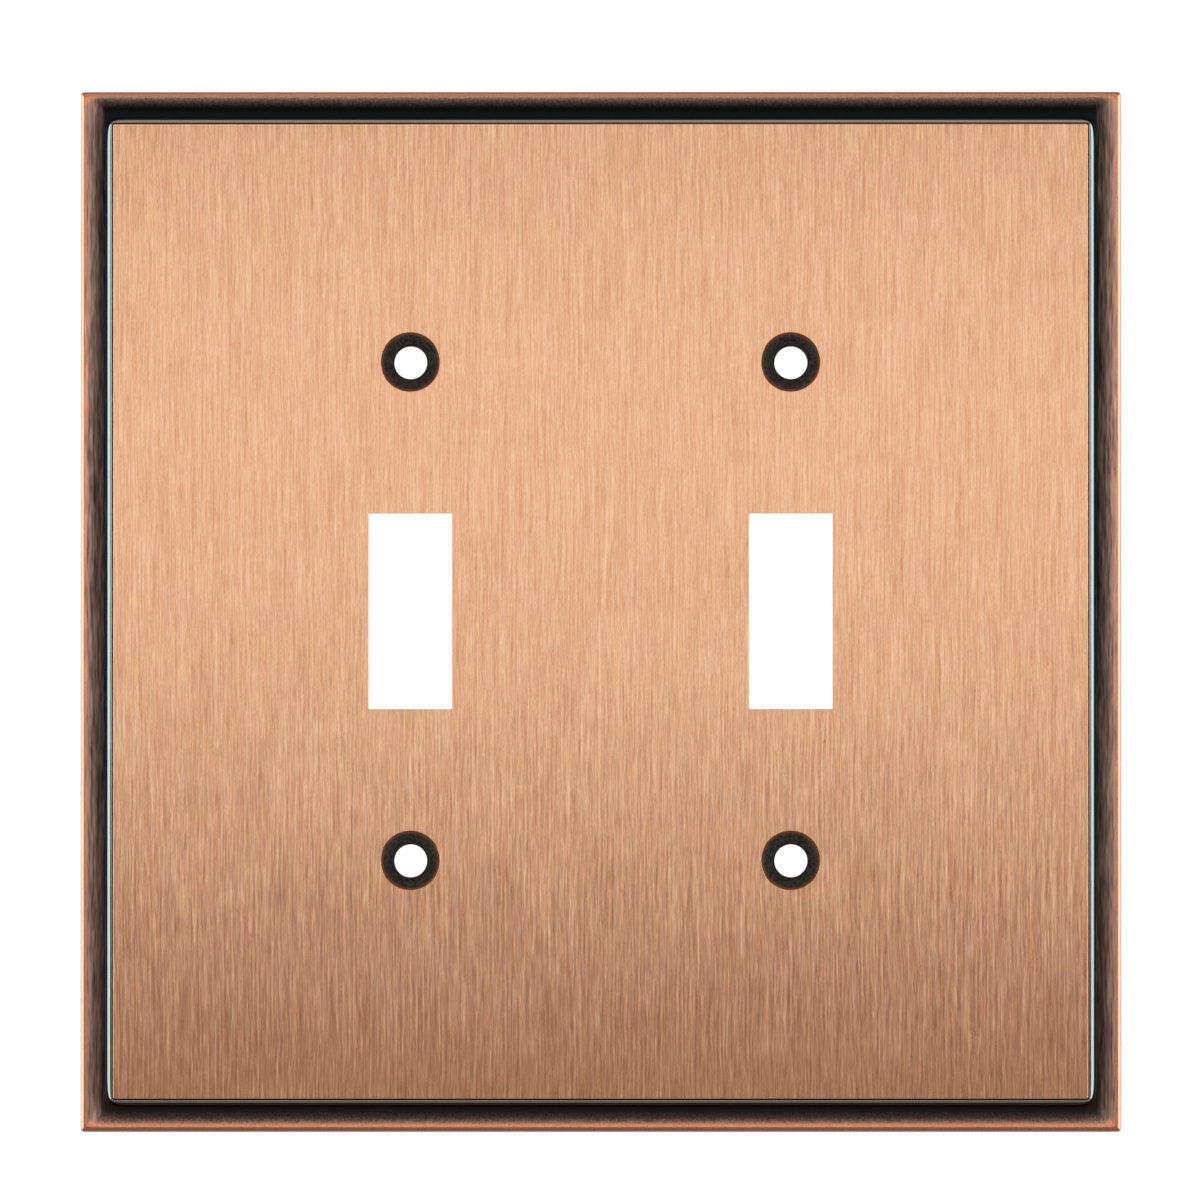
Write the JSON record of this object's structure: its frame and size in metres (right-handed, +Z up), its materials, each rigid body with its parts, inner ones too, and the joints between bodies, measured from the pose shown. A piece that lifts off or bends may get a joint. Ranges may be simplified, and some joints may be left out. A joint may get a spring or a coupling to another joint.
{
  "type": "wall plate cover",
  "caption": "Square two-gang wall plate for toggle switches: brushed copper face panel bonded into a cast base with a stepped dark border and countersunk screw holes.",
  "frame": {"origin": "middle of the plate on the wall plane, on the middle rib's rear face", "axes": "+Y out of the back, into the wall; the front faces -Y; +Z up; +X to the right seen from the front"},
  "size_m": [0.126, 0.007, 0.126],
  "materials": {
    "antique_copper": "satin",
    "adhesive": "matte",
    "brushed_copper": "satin"
  },
  "bodies": {
    "root": {"base_casting": "antique_copper", "adhesive_film": "adhesive", "face_panel": "brushed_copper"}
  },
  "joints": []
}
